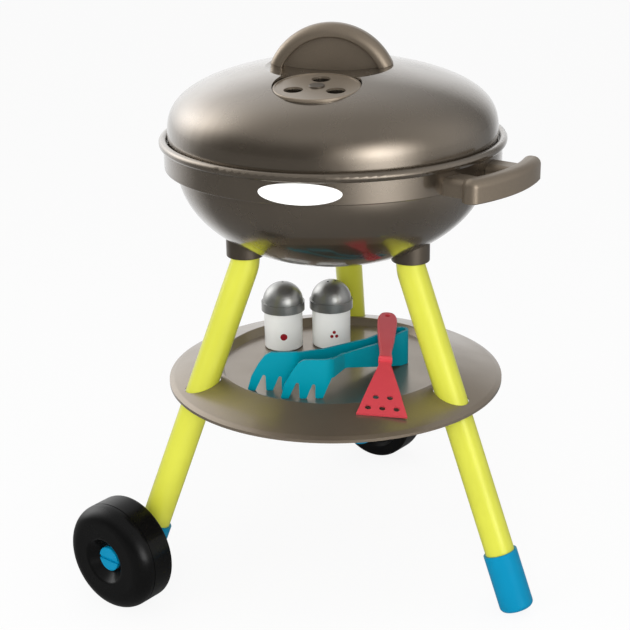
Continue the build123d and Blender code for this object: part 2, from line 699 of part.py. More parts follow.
def make_foot_cap():
    """The cap that the plain leg stands on."""
    return turned(FOOT_AZIMUTH, cap_sleeve(cap_base_z(), FOOT_CAP_LENGTH))


def make_axle_cap(azimuth):
    """The cap on a wheel leg's end, with the boss that the wheel turns against."""
    side = 1 if azimuth > 0 else -1
    cap = turned(azimuth, cap_sleeve(axle_cap_z(), AXLE_CAP_LENGTH))
    reach = WHEEL_INNER_Y + WHEEL_BACK_DEPTH - WHEEL_SIDE_GAP - AXLE_LEG_Y
    boss = Pos(AXLE_X, side * AXLE_LEG_Y, WHEEL_R) * Rot(-90 * side, 0, 0) * standing(AXLE_BOSS_R, reach)
    leg_inside = leg_frame(leg_end_z(axle_cap_z())) * standing(LEG_R + CAP_FIT, 2 * AXLE_CAP_LENGTH)
    cap += boss - turned(azimuth, leg_inside)
    return cap - turned(azimuth, axle_bore(azimuth, PIN_R + PIN_FIT))


def wheel_section():
    """The wheel's section from its bore to its tread, in radius and width."""
    bore_r = PIN_R + PIN_GAP
    body = block((0, 0), (WHEEL_R, WHEEL_W))
    outer = body.vertices().sort_by_distance((WHEEL_R, WHEEL_W))[0]
    body = fillet(outer, WHEEL_OUT_ROUND)
    inner = body.vertices().sort_by_distance((WHEEL_R, 0))[0]
    body = fillet(inner, WHEEL_IN_ROUND)
    dish = [
        (0, WHEEL_W + OVERRUN),
        (WHEEL_DISH_R, WHEEL_W + OVERRUN),
        (WHEEL_DISH_R, WHEEL_W),
        (WHEEL_SEAT_R, WHEEL_W - WHEEL_DISH_DEPTH),
        (0, WHEEL_W - WHEEL_DISH_DEPTH),
    ]
    body -= make_face(Polyline(*dish, close=True))
    mouth = body.vertices().sort_by_distance((WHEEL_DISH_R, WHEEL_W))[0]
    body = fillet(mouth, WHEEL_DISH_ROUND)
    back = [
        (0, -OVERRUN),
        (WHEEL_BACK_R + WHEEL_BACK_SLOPE, -OVERRUN),
        (WHEEL_BACK_R + WHEEL_BACK_SLOPE, 0),
        (WHEEL_BACK_R, WHEEL_BACK_DEPTH),
        (0, WHEEL_BACK_DEPTH),
    ]
    body -= make_face(Polyline(*back, close=True))
    return body - block((0, -OVERRUN), (bore_r, WHEEL_W + OVERRUN))


def wheel_place(side):
    """The wheel's frame: its Z runs outward along the axle from the wheel's inner face."""
    return Pos(AXLE_X, side * WHEEL_INNER_Y, WHEEL_R) * Rot(-90 * side, 0, 0)


def make_wheel(side):
    """A hollow moulded wheel with a dished hub and a seam line round its tread."""
    section = wheel_section()
    hollow = offset(section, -WHEEL_WALL)
    seam_z = WHEEL_W - WHEEL_OUT_ROUND
    seam = block((WHEEL_R - WHEEL_SEAM_D, seam_z - WHEEL_SEAM_W), (WHEEL_R + OVERRUN, seam_z))
    wheel = spin(section - seam) - spin(hollow)
    return wheel_place(side) * wheel


def make_axle_pin(side):
    """The axle pin: a slotted disc head in the wheel's hub on a shank through the leg."""
    head_z = WHEEL_W - WHEEL_DISH_DEPTH + WHEEL_SIDE_GAP
    head = standing(PIN_HEAD_R, PIN_HEAD_H)
    head = fillet(head.edges().sort_by(Axis.Z)[-1], PIN_HEAD_ROUND)
    head -= Pos(0, 0, PIN_HEAD_H) * Box(2 * PIN_HEAD_R, PIN_SLOT_W, 2 * PIN_SLOT_D)
    length = head_z + WHEEL_INNER_Y - AXLE_LEG_Y + CAP_R
    shank = Pos(0, 0, -length) * standing(PIN_R, length)
    return wheel_place(side) * Pos(0, 0, head_z) * (head + shank)


# Shakers


def make_shaker_body():
    """A shaker's cup with a narrower neck for its cap."""
    outside = block((0, 0), (SHAKER_R, SHAKER_BODY_H - SHAKER_NECK_H))
    corner = outside.vertices().sort_by_distance((SHAKER_R, 0))[0]
    outside = fillet(corner, SHAKER_FOOT_ROUND)
    outside += block((0, SHAKER_BODY_H / 2), (SHAKER_NECK_R, SHAKER_BODY_H))
    hollow = block((0, SHAKER_WALL), (SHAKER_NECK_R - SHAKER_WALL, SHAKER_BODY_H + OVERRUN))
    return spin(outside - hollow)


def make_shaker_cap(holes):
    """A domed shaker cap with a rim band and small holes in its top."""
    low = SHAKER_BODY_H - SHAKER_NECK_H + SHAKER_CAP_FIT
    rim_top = low + SHAKER_RIM_H
    rise = SHAKER_HEIGHT - rim_top
    rim = block((0, low), (SHAKER_CAP_R, rim_top))
    above_rim = block((0, rim_top), (SHAKER_DOME_R, SHAKER_HEIGHT))
    crown = Pos(0, rim_top) * Ellipse(SHAKER_DOME_R, rise) & above_rim
    inner = Pos(0, rim_top) * Ellipse(SHAKER_DOME_R - SHAKER_WALL, rise - SHAKER_WALL)
    inner = inner & above_rim
    skirt = block((0, low - OVERRUN), (SHAKER_NECK_R + SHAKER_CAP_FIT, rim_top))
    cap = spin(rim + crown - inner - skirt)
    for turn in range(holes):
        reach = SHAKER_HOLE_PITCH_R if holes > 1 else 0
        angle = (turn + 1 / 4) * 360 / holes
        hole = Pos(reach, 0, SHAKER_HEIGHT) * Cylinder(SHAKER_HOLE_R, rise)
        cap -= Rot(0, 0, angle) * hole
    return cap


def on_tray(place, shape):
    """A shape set down in the tray's dish."""
    return Pos(place[0], place[1], TRAY_DISH_Z + SEAT_GAP) * shape


# Tongs


def tongs_frame():
    """The tongs' frame on the dish: X runs along the arms from the bend, Z is up."""
    return Pos(TONGS_PLACE[0], TONGS_PLACE[1], TRAY_DISH_Z + SEAT_GAP) * Rot(0, 0, TONGS_AZIMUTH)


def strap(points):
    """A standing strap along a line seen from above, as tall as the claw."""
    line = FilletPolyline(*points, radius=TONGS_CORNER_ROUND)
    return extrude(trace(line, line_width=TONGS_THICK), TONGS_CLAW_TOP)


def side_shape(corner):
    """The arm's outline seen from the side, from the bend to its corner."""
    far = corner[0]
    outline = [
        (-TONGS_BEND_R, 0),
        (2 * TONGS_BEND_R, 0),
        (far / 3, TONGS_NECK_BOTTOM / 3),
        (far * 3 / 4, TONGS_NECK_BOTTOM),
        (far + TONGS_THICK, TONGS_NECK_BOTTOM),
        (far + TONGS_THICK, TONGS_CLAW_TOP),
        (far * 3 / 4, (TONGS_BEND_H + TONGS_CLAW_TOP) / 2 - TONGS_THICK),
        (far / 3, TONGS_NECK_TOP),
        (2 * TONGS_BEND_R, TONGS_BEND_H),
        (-TONGS_BEND_R, TONGS_BEND_H),
    ]
    face = make_face(Polyline(*outline, close=True))
    inner = [v for v in face.vertices() if 2 * TONGS_BEND_R - TONGS_THICK < v.X < far]
    face = fillet(inner, TONGS_NECK_BOTTOM)
    depth = 2 * FRONT_ARM_CORNER[1] + 2 * CLAW_REACH
    return extrude(Plane.XZ * face, depth / 2, both=True)


def claw_outline():
    """The claw's outline in its own plane: three fingers that sweep forward and down."""
    edges = [share * CLAW_REACH for share in CLAW_FINGER_SHARES]
    tops = [share * CLAW_REACH for share in CLAW_GAP_TOP_SHARES]
    points = [(share[0] * CLAW_REACH, share[1] * TONGS_CLAW_TOP) for share in CLAW_INNER_SHARES[::-1]]
    for finger in range(len(edges) // 2):
        points += [(edges[2 * finger], 0), (edges[2 * finger + 1], 0)]
        if finger < len(tops):
            points.append((tops[finger], FINGER_GAP_H))
    points += [(share[0] * CLAW_REACH, share[1] * TONGS_CLAW_TOP) for share in CLAW_BACK_SHARES]
    points.append((points[0][0], TONGS_CLAW_TOP))
    face = make_face(Polyline(*points, close=True))
    soft = [v for v in face.vertices() if v.Y < FINGER_GAP_H + FINGER_ROUND and v.X > -FINGER_ROUND]
    face = fillet(soft, FINGER_ROUND)
    back = [v for v in face.vertices() if v.Y > FINGER_GAP_H + FINGER_ROUND and v.X > CLAW_REACH / 2]
    return fillet(back, CLAW_CORNER_ROUND / 2)


def claw_end(corner):
    """Where an arm's strap ends, seen from above."""
    turn = radians(CLAW_TURN)
    reach = CLAW_START + CLAW_REACH + TONGS_THICK
    return (corner[0] + reach * cos(turn), corner[1] + reach * sin(turn))


def shaped_arm(points, corner):
    """One arm: its strap trimmed to the arm's side outline and the claw's outline."""
    claw = extrude(Plane.XZ * claw_outline(), 2 * TONGS_THICK, both=True)
    claw = Pos(corner[0], corner[1], 0) * Rot(0, 0, CLAW_TURN) * Pos(CLAW_START, 0, 0) * claw
    band = strap(points)
    arm_side = side_shape(corner) & band
    near = Pos(corner[0] / 2, 0, TONGS_CLAW_TOP / 2) * Box(
        corner[0] + CLAW_START, 4 * CLAW_REACH, 2 * TONGS_CLAW_TOP
    )
    return (arm_side & near) + (claw & band)


def bend_arc(low_r, high_r, start, end):
    """A part of the tongs' round bend between two radii and two angles, standing on the dish."""
    ring = Circle(high_r) - Circle(low_r)
    size = 2 * high_r
    wedge = [(0, 0)]
    steps = LEG_COUNT * LEG_COUNT
    for step in range(steps + 1):
        angle = radians(start + (end - start) * step / steps)
        wedge.append((size * cos(angle), size * sin(angle)))
    sector = make_face(Polyline(*wedge, close=True))
    return Pos(*TONGS_BEND_CENTRE, 0) * extrude(ring & sector, TONGS_BEND_H)


def make_tongs_rear_arm():
    """The arm behind, with the tongs' round bend."""
    start = (TONGS_BEND_CENTRE[0], TONGS_BEND_CENTRE[1] - TONGS_BEND_R)
    arm = shaped_arm([start, REAR_ARM_BEND, REAR_ARM_CORNER, claw_end(REAR_ARM_CORNER)], REAR_ARM_CORNER)
    low, high = TONGS_BEND_R - TONGS_THICK / 2, TONGS_BEND_R + TONGS_THICK / 2
    arm += bend_arc(low, high, 90 + TONGS_LAP_ANGLE, 270)
    arm += bend_arc(TONGS_BEND_R + TONGS_LAP_GAP / 2, high, 90, 90 + TONGS_LAP_ANGLE)
    return tongs_frame() * arm


def make_tongs_front_arm():
    """The arm in front, which springs about the bend."""
    start = (TONGS_BEND_CENTRE[0] + SEAT_GAP, TONGS_BEND_CENTRE[1] + TONGS_BEND_R)
    arm = shaped_arm([start, FRONT_ARM_BEND, FRONT_ARM_CORNER, claw_end(FRONT_ARM_CORNER)], FRONT_ARM_CORNER)
    low = TONGS_BEND_R - TONGS_THICK / 2
    high = TONGS_BEND_R - TONGS_LAP_GAP / 2
    lap_end = 90 + TONGS_LAP_ANGLE - TONGS_LAP_SLACK
    arm += bend_arc(low, high, 90 - TONGS_LAP_ANGLE, lap_end)
    return tongs_frame() * arm


# Spatula


def mirrored(points):
    """A closed outline from the points of its right side."""
    return points + [(-x, y) for x, y in reversed(points)]


def make_spatula():
    """The spatula: a pierced flat blade and a rounded handle with a hole to hang it by."""
    side = [(share[0] * BLADE_W, share[1] * BLADE_LENGTH) for share in BLADE_SIDE_SHARES]
    side.append((NECK_W / 2, BLADE_LENGTH + HANDLE_THICK))
    blade = extrude(make_face(Polyline(*mirrored(side), close=True)), BLADE_THICK)
    for share in BLADE_HOLE_SHARES:
        blade -= Pos(share[0] * BLADE_W, share[1] * BLADE_LENGTH, 0) * Cylinder(BLADE_HOLE_R, 4 * BLADE_THICK)
    half = [(share[0] * HANDLE_W / 2, share[1] * HANDLE_LENGTH) for share in HANDLE_SIDE_SHARES]
    right = Spline(*half, (0, HANDLE_LENGTH), tangents=[(0, 1), (-1, 0)])
    left = Spline(*[(-x, y) for x, y in half], (0, HANDLE_LENGTH), tangents=[(0, 1), (1, 0)])
    outline = make_face(Wire([right, left, Line((-half[0][0], 0), half[0])]))
    handle = extrude(outline, HANDLE_THICK)
    handle = fillet(handle.faces().sort_by(Axis.Z)[-1].edges(), HANDLE_ROUND)
    hang_y = HANDLE_LENGTH - HANG_HOLE_INSET
    handle -= Pos(0, hang_y, 0) * Cylinder(HANG_HOLE_R, 4 * HANDLE_THICK)
    spatula = blade + Pos(0, BLADE_LENGTH, 0) * Rot(-SPATULA_KINK, 0, 0) * handle
    place = Pos(*SPATULA_PLACE) * Rot(0, 0, SPATULA_AZIMUTH) * Rot(SPATULA_TILT, 0, 0)
    return place * Rot(0, SPATULA_ROLL, 0) * spatula


def save(name, shape):
    """Write one sub-part to its own file."""
    export_step(shape, f"parts/{name}.step")


def main():
    """Build every sub-part and write it to parts/."""
    os.makedirs("parts", exist_ok=True)
    save("bowl", make_bowl())
    save("bowl_handle", make_bowl_handle())
    grip_screws = [place * screw(HANDLE_SCREW_LENGTH) for place in handle_screw_places()]
    save("bowl_handle_screws", Compound(grip_screws))
    save("label_plate", make_label_plate())
    save("cooking_grate", make_cooking_grate())
    save("lid", make_lid())
    save("lid_handle", make_lid_handle())
    fin_screws = [turned(LID_TURN, place * screw(FIN_SCREW_LENGTH)) for place in fin_screw_places()]
    save("lid_handle_screws", Compound(fin_screws))
    save("vent_disc", make_vent_disc())
    save("vent_pivot", make_vent_pivot())
    save("tray", make_tray())
    save("socket_foot", make_socket(FOOT_AZIMUTH))
    save("leg_foot", make_leg(FOOT_AZIMUTH, leg_end_z(cap_base_z()), False))
    save("foot_cap", make_foot_cap())
    save("socket_screws", Compound([place * screw(SOCKET_SCREW_LENGTH) for place in socket_screw_places()]))
    for name, azimuth in WHEEL_AZIMUTHS.items():
        side = 1 if azimuth > 0 else -1
        save(f"socket_{name}", make_socket(azimuth))
        save(f"leg_{name}", make_leg(azimuth, leg_end_z(axle_cap_z()), True))
        save(f"axle_cap_{name}", make_axle_cap(azimuth))
        save(f"wheel_{name}", make_wheel(side))
        save(f"axle_pin_{name}", make_axle_pin(side))
    for name, place, holes in (("pepper", PEPPER_PLACE, PEPPER_HOLES), ("salt", SALT_PLACE, SALT_HOLES)):
        save(f"{name}_body", on_tray(place, make_shaker_body()))
        save(f"{name}_cap", on_tray(place, make_shaker_cap(holes)))
    save("tongs_rear_arm", make_tongs_rear_arm())
    save("tongs_front_arm", make_tongs_front_arm())
    save("spatula", make_spatula())


main()
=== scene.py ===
"""Toy kettle barbecue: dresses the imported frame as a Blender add-on would."""
import json
from math import cos, pi, radians, sin

import bmesh
import bpy
from bpy.props import FloatProperty, FloatVectorProperty, PointerProperty
from mathutils import Matrix, Vector


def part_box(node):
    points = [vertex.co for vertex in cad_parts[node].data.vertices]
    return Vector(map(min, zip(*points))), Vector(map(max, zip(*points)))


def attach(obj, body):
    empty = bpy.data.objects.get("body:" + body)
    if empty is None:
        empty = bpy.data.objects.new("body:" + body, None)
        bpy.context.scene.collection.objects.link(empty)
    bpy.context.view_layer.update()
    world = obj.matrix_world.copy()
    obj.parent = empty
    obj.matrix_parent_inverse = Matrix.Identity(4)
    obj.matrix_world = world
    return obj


bl_info = {
    "name": "Toy Kettle Barbecue",
    "version": (1, 0, 0),
    "blender": (4, 5, 0),
    "location": "View3D > Sidebar > Barbecue",
    "description": "Builds the looks of a toy kettle barbecue around its packed frame",
    "category": "Object",
}

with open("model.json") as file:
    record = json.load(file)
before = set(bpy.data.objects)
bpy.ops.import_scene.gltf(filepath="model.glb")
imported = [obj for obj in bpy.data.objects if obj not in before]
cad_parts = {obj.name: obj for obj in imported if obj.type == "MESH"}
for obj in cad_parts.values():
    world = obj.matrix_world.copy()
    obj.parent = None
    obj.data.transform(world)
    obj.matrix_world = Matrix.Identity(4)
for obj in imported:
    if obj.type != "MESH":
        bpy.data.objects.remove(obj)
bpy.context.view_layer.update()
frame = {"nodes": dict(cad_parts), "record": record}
NODES = frame["nodes"]

# The shakers' printed marks
INK_SINK = 0.0002        # how deep the ink's back lies in a shaker's wall
INK_PROUD = 0.0001       # how far its face stands out
DOT_CORNERS = 40

# The plastics: scales of their textures on object coordinates, and how strongly they show
NOISE_SPAN = (0.35, 0.65)    # values of a texture between which two colours blend
DRIFT_SCALE = 9.0        # slow change of colour
WEAR_SCALE = 22.0        # patches of more and less gloss
GRAIN_SCALE = 420.0      # fine grain
FLAKE_SCALE = 1400.0     # metallic flakes
GRAIN_RELIEF = 0.0001    # depth of the fine grain
UNEVEN_GLOSS = 0.12      # share by which the roughness varies
DULL_FLAKE = 0.7         # brightness of the dullest flake

# The studio round the grill: azimuth and height in degrees, and how narrow a soft box is
BACKDROP_AZIMUTH = 144
LEFT_BOX = (188, 26, 13)
BACK_BOX = (152, 34, 8)
RIGHT_BOX = (-20, 4, 18)
SIDE_BOX = (35, 10, 5)
STUDIO_EYE = 0.55        # height above the floor from which its soft boxes are seen
FLOOR_GLOW = 0.90        # share of the floor that is plain white to the camera
MIRRORED_GLOW = 0.8      # the same where the grill's gloss mirrors the floor
FLOOR_HALF = 15
FLOOR_WHITE = (0.92, 0.92, 0.92, 1)
OVERHEAD_RISE = (0.2, 0.9)     # upward share of a direction between which the studio turns to its ceiling
BACKDROP_RISE = (0.3, 0.85)    # nearness to the backdrop between which it comes in
BACKDROP_FALL = (0.3, 0.75)    # upward share of a direction between which it goes out

# The lamps: place, target and size
KEY_LAMP = ((-0.5, -2.4, 1.2), (0, 0, 0.35), 1.6)
FILL_LAMP = ((1.2, -1.6, 1.05), (0, 0, 0.3), 1.0)
TOP_LAMP = ((0.2, 0.3, 2.4), (0, 0, 0.5), 1.6)

# The camera, as fitted to the photograph
CAMERA_PLACE = (1.0367, -1.3269, 0.9434)
CAMERA_YAW = radians(38.848)
CAMERA_PITCH = radians(20.057)
CAMERA_ROLL = radians(0.919)
SENSOR_WIDTH = 36
CLIP_RANGE = (0.05, 50)


# Settings


class BARBECUE_PG_finish(bpy.types.PropertyGroup):
    """Colours and gloss of the plastics"""

    taupe: FloatVectorProperty(
        name="Taupe", description="Metallic taupe of the bowl, lid and tray", subtype="COLOR",
        default=(0.165, 0.134, 0.100), min=0, max=1)
    lime: FloatVectorProperty(
        name="Lime", description="Green of the legs", subtype="COLOR",
        default=(0.645, 0.655, 0.06), min=0, max=1)
    teal: FloatVectorProperty(
        name="Teal", description="Blue of the caps, pins and tongs", subtype="COLOR",
        default=(0.0, 0.24, 0.43), min=0, max=1)
    tongs_teal: FloatVectorProperty(
        name="Tongs", description="Greener blue of the tongs", subtype="COLOR",
        default=(0.0, 0.28, 0.37), min=0, max=1)
    red: FloatVectorProperty(
        name="Red", description="Red of the spatula", subtype="COLOR",
        default=(0.62, 0.062, 0.08), min=0, max=1)
    black: FloatVectorProperty(
        name="Black", description="Black of the wheels", subtype="COLOR",
        default=(0.003, 0.003, 0.003), min=0, max=1)
    white: FloatVectorProperty(
        name="White", description="White of the shakers and the plate", subtype="COLOR",
        default=(0.95, 0.95, 0.93), min=0, max=1)
    grey: FloatVectorProperty(
        name="Grey", description="Metallic grey of the shaker caps", subtype="COLOR",
        default=(0.32, 0.32, 0.31), min=0, max=1)
    charcoal: FloatVectorProperty(
        name="Charcoal", description="Near black of the cooking grate", subtype="COLOR",
        default=(0.03, 0.03, 0.03), min=0, max=1)
    steel: FloatVectorProperty(
        name="Steel", description="Bare metal of the screws", subtype="COLOR",
        default=(0.55, 0.55, 0.56), min=0, max=1)
    ink: FloatVectorProperty(
        name="Ink", description="Dark red of the marks on the shakers", subtype="COLOR",
        default=(0.30, 0.004, 0.012), min=0, max=1)
    shell_roughness: FloatProperty(
        name="Shell roughness", description="Roughness of the bowl and lid under their gloss",
        default=0.26, min=0.02, max=1, subtype="FACTOR")


class BARBECUE_PG_marks(bpy.types.PropertyGroup):
    """The round marks printed on the shakers"""

    one_dot: FloatProperty(
        name="Single mark", description="Radius of the pepper shaker's mark",
        default=0.0046, min=0, unit="LENGTH")
    small_dot: FloatProperty(
        name="Small mark", description="Radius of each mark on the salt shaker",
        default=0.0022, min=0, unit="LENGTH")
    dot_spread: FloatProperty(
        name="Spread", description="From the middle of the three marks to each",
        default=0.0037, min=0, unit="LENGTH")
    rise: FloatProperty(
        name="Height", description="Height of the marks above the shaker's foot",
        default=0.0205, min=0, unit="LENGTH")
    pepper_azimuth: FloatProperty(
        name="Pepper side", description="Side to which the pepper shaker's mark faces",
        default=radians(-49.8), subtype="ANGLE")
    salt_azimuth: FloatProperty(
        name="Salt side", description="Side to which the salt shaker's marks face",
        default=radians(-43.4), subtype="ANGLE")


class BARBECUE_PG_studio(bpy.types.PropertyGroup):
    """Camera and lamps"""

    lens: FloatProperty(
        name="Lens", description="Focal length of the camera",
        default=80.86, min=20, max=300, unit="CAMERA")
    key_power: FloatProperty(
        name="Key", description="Power of the large lamp on the left",
        default=12, min=0, unit="POWER")
    fill_power: FloatProperty(
        name="Fill", description="Power of the front lamp in watts",
        default=22, min=0, unit="POWER")
    top_power: FloatProperty(
        name="Top", description="Power of the lamp overhead in watts",
        default=8, min=0, unit="POWER")
    left_box: FloatProperty(
        name="Left box", description="Strength of the soft box behind on the left",
        default=3.6, min=0)
    back_box: FloatProperty(
        name="Back box", description="Strength of the wide weak box behind",
        default=0.7, min=0)
    right_box: FloatProperty(
        name="Right box", description="Strength of the soft box in front on the right",
        default=7.0, min=0)
    side_box: FloatProperty(
        name="Side box", description="Strength of the wide weak box on the right",
        default=0.8, min=0)
    front_level: FloatProperty(
        name="Front", description="Level of the studio in front of the grill",
        default=0.11, min=0)
    backdrop_level: FloatProperty(
        name="Backdrop", description="Level of the backdrop in the gloss",
        default=1.0, min=0)
    top_level: FloatProperty(
        name="Ceiling", description="Level of the studio overhead",
        default=0.62, min=0)
    soft_level: FloatProperty(
        name="Soft light", description="Plain light on the grill from all round",
        default=0.62, min=0)


# Materials


def shader(name):
    """A new material with its Principled shader and its object coordinates."""
    material = bpy.data.materials.new(name)
    material.use_nodes = True
    tree = material.node_tree
    principled = tree.nodes["Principled BSDF"]
    coordinates = tree.nodes.new("ShaderNodeTexCoord")
    return material, tree, principled, coordinates


def noise(tree, coordinates, scale, detail):
    """A noise texture on object coordinates."""
    texture = tree.nodes.new("ShaderNodeTexNoise")
    texture.inputs["Scale"].default_value = scale
    texture.inputs["Detail"].default_value = detail
    tree.links.new(coordinates.outputs["Object"], texture.inputs["Vector"])
    return texture


def ramp(tree, source, low, high):
    """Blends two colours by a texture's value."""
    node = tree.nodes.new("ShaderNodeValToRGB")
    for element, position, colour in zip(node.color_ramp.elements, NOISE_SPAN, (low, high)):
        element.position = position
        element.color = (*colour, 1)
    tree.links.new(source, node.inputs["Fac"])
    return node


def bump(tree, principled, source, strength, distance):
    """Adds relief from a texture's value."""
    node = tree.nodes.new("ShaderNodeBump")
    node.inputs["Strength"].default_value = strength
    node.inputs["Distance"].default_value = distance
    tree.links.new(source, node.inputs["Height"])
    tree.links.new(node.outputs["Normal"], principled.inputs["Normal"])


def varied(colour, share):
    """A colour made lighter or darker by a share."""
    return tuple(min(1.0, channel * (1 + share)) for channel in colour)


def plastic(name, colour, roughness, coat=0.0, coat_roughness=0.08, flake=0.0, metallic=0.0, grain=0.02,
            spread=0.04, shine=0.5):
    """Moulded plastic: slow colour drift, fine grain and uneven gloss."""
    material, tree, principled, coordinates = shader(name)
    drift = noise(tree, coordinates, DRIFT_SCALE, detail=3.0)
    tint = ramp(tree, drift.outputs["Fac"], varied(colour, -spread), varied(colour, spread))
    tree.links.new(tint.outputs["Color"], principled.inputs["Base Color"])
    if flake:
        speck = noise(tree, coordinates, FLAKE_SCALE, detail=1.0)
        mix = tree.nodes.new("ShaderNodeMix")
        mix.data_type = "RGBA"
        mix.blend_type = "MULTIPLY"
        mix.inputs["Factor"].default_value = flake
        tree.links.new(tint.outputs["Color"], mix.inputs["A"])
        spark = ramp(tree, speck.outputs["Fac"], (DULL_FLAKE,) * 3, (1, 1, 1))
        tree.links.new(spark.outputs["Color"], mix.inputs["B"])
        tree.links.new(mix.outputs["Result"], principled.inputs["Base Color"])
    wear = noise(tree, coordinates, WEAR_SCALE, detail=4.0)
    smoother, rougher = varied((roughness,) * 3, -UNEVEN_GLOSS), varied((roughness,) * 3, UNEVEN_GLOSS)
    gloss = ramp(tree, wear.outputs["Fac"], smoother, rougher)
    tree.links.new(gloss.outputs["Color"], principled.inputs["Roughness"])
    principled.inputs["Metallic"].default_value = metallic
    principled.inputs["Specular IOR Level"].default_value = shine
    principled.inputs["Coat Weight"].default_value = coat
    principled.inputs["Coat Roughness"].default_value = coat_roughness
    fine = noise(tree, coordinates, GRAIN_SCALE, detail=0.0)
    bump(tree, principled, fine.outputs["Fac"], grain, GRAIN_RELIEF)
    return material


def make_materials(look):
    """All finishes of the barbecue by name, among them lighter and darker copies of the taupe with painted
    light and painted shade.
    """
    return {
        "taupe": plastic(
            "taupe_shell", look.taupe, roughness=look.shell_roughness, coat=0.9, coat_roughness=0.1,
            flake=0.25, metallic=0.88),
        # The tray: the taupe made half again as light, a painted reflection of the bright backdrop in its
        # gloss; its lower metal and thinner coat are its own finish
        "taupe_tray_painted_reflection": plastic(
            "taupe_tray_painted_reflection", varied(look.taupe, 0.5), roughness=0.33, coat=0.5, coat_roughness=0.14,
            flake=0.2, metallic=0.68),
        # The handles: the taupe made half again as light, painted light for the studio light on them; their
        # rougher satin gloss is their own finish
        "taupe_handle_painted_light": plastic(
            "taupe_handle_painted_light", varied(look.taupe, 0.5), roughness=0.42, coat=0.15, coat_roughness=0.3,
            flake=0.5, metallic=0.75),
        # The vent disc: the taupe made lighter by six tenths, painted light for the studio light on it; its
        # rougher gloss is its own finish
        "taupe_vent_painted_light": plastic(
            "taupe_vent_painted_light", varied(look.taupe, 0.6), roughness=0.4, coat=0.3, coat_roughness=0.2,
            flake=0.4, metallic=0.6),
        # The leg sockets: the taupe made darker by four tenths, painted shade for where they sit under the
        # bowl; their satin gloss is their own finish
        "taupe_satin": plastic(
            "taupe_socket_painted_shade", varied(look.taupe, -0.4), roughness=0.42, coat=0.2, coat_roughness=0.25,
            flake=0.4, metallic=0.75),
        "lime": plastic(
            "lime_tube", look.lime, roughness=0.32, coat=0.15, coat_roughness=0.15, shine=0.35),
        "teal": plastic("teal_plastic", look.teal, roughness=0.36, shine=0.12),
        "teal_tongs": plastic("teal_tongs", look.tongs_teal, roughness=0.36, shine=0.12),
        "tyre_black": plastic(
            "black_wheel", look.black, roughness=0.3, coat=0.1, coat_roughness=0.12, spread=0.2, shine=0.12),
        "white": plastic("white_plastic", look.white, roughness=0.4, coat=0.2, spread=0.01),
        "cap_grey": plastic(
            "grey_cap", look.grey, roughness=0.38, coat=0.3, coat_roughness=0.2, flake=0.4, metallic=0.8),
        "red": plastic("red_plastic", look.red, roughness=0.4, shine=0.25),
        "ink": plastic("dark_red_ink", look.ink, roughness=0.5),
        "steel": plastic("zinc_steel", look.steel, roughness=0.3, metallic=1.0, grain=0.05),
        "grate_black": plastic("grate_plastic", look.charcoal, roughness=0.45, coat=0.1, spread=0.2),
    }


# Finishes of nodes whose own differs a little from that of their material slot: the greener tongs, and the
# tray, handles and vent, whose lighter taupe holds painted light
FINISH_AND_PAINTED_LIGHT = {
    "bowl_handle": "taupe_handle_painted_light",
    "lid_handle": "taupe_handle_painted_light",
    "vent_disc": "taupe_vent_painted_light",
    "tray": "taupe_tray_painted_reflection",
    "tongs_rear_arm": "teal_tongs",
    "tongs_front_arm": "teal_tongs",
}
MATERIALS = {}


def dress(node, finish):
    """Gives a CAD node a finish through its material slots."""
    for slot in NODES[node].material_slots:
        slot.material = MATERIALS[finish]


# Operators


class BARBECUE_OT_finishes(bpy.types.Operator):
    """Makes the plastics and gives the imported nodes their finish"""

    bl_idname = "barbecue.finishes"
    bl_label = "Finishes"

    def execute(self, context):
        MATERIALS.update(make_materials(context.scene.barbecue_finish))
        for part in frame["record"]["subparts"]:
            dress(part["node"], FINISH_AND_PAINTED_LIGHT.get(part["node"], part["material_slot"]))
        return {"FINISHED"}


class BARBECUE_OT_marks(bpy.types.Operator):
    """Prints plain round marks on the shakers, as many as their caps have holes"""

    bl_idname = "barbecue.marks"
    bl_label = "Shaker marks"

    def execute(self, context):
        marks = context.scene.barbecue_marks
        print_mark("pepper_mark", "pepper", marks.pepper_azimuth, marks.rise, marks.one_dot, [(0, 0)])
        thirds = [pi / 2 + third * 2 * pi / 3 for third in range(3)]
        spots = [(marks.dot_spread * cos(turn), marks.dot_spread * sin(turn)) for turn in thirds]
        print_mark("salt_mark", "salt", marks.salt_azimuth, marks.rise, marks.small_dot, spots)
        return {"FINISHED"}


def print_mark(name, shaker, azimuth, rise, radius, spots):
    """Round spots of ink, bent round a shaker's cup on the side that faces an azimuth."""
    low, high = (Vector(corner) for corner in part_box(shaker + "_body"))
    middle = (low + high) / 2
    cup = (high.x - low.x) / 2
    bm = bmesh.new()
    for across, up in spots:
        made = bmesh.ops.create_circle(bm, cap_ends=True, radius=radius, segments=DOT_CORNERS)
        bmesh.ops.translate(bm, verts=made["verts"], vec=(across, up, 0))
    bmesh.ops.inset_individual(bm, faces=bm.faces[:], thickness=radius / 2)
    raised = bmesh.ops.extrude_face_region(bm, geom=bm.faces[:])["geom"]
    raised = [item for item in raised if isinstance(item, bmesh.types.BMVert)]
    bmesh.ops.translate(bm, verts=raised, vec=(0, 0, INK_SINK + INK_PROUD))
    for vert in bm.verts:
        turn = azimuth + vert.co.x / cup
        distance = cup - INK_SINK + vert.co.z
        vert.co = (middle.x + distance * cos(turn), middle.y + distance * sin(turn), low.z + rise + vert.co.y)
    bmesh.ops.recalc_face_normals(bm, faces=bm.faces[:])
    mesh = bpy.data.meshes.new(name)
    bm.to_mesh(mesh)
    bm.free()
    mesh.materials.append(MATERIALS["ink"])
    mark = bpy.data.objects.new(name, mesh)
    bpy.context.scene.collection.objects.link(mark)
    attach(mark, shaker)


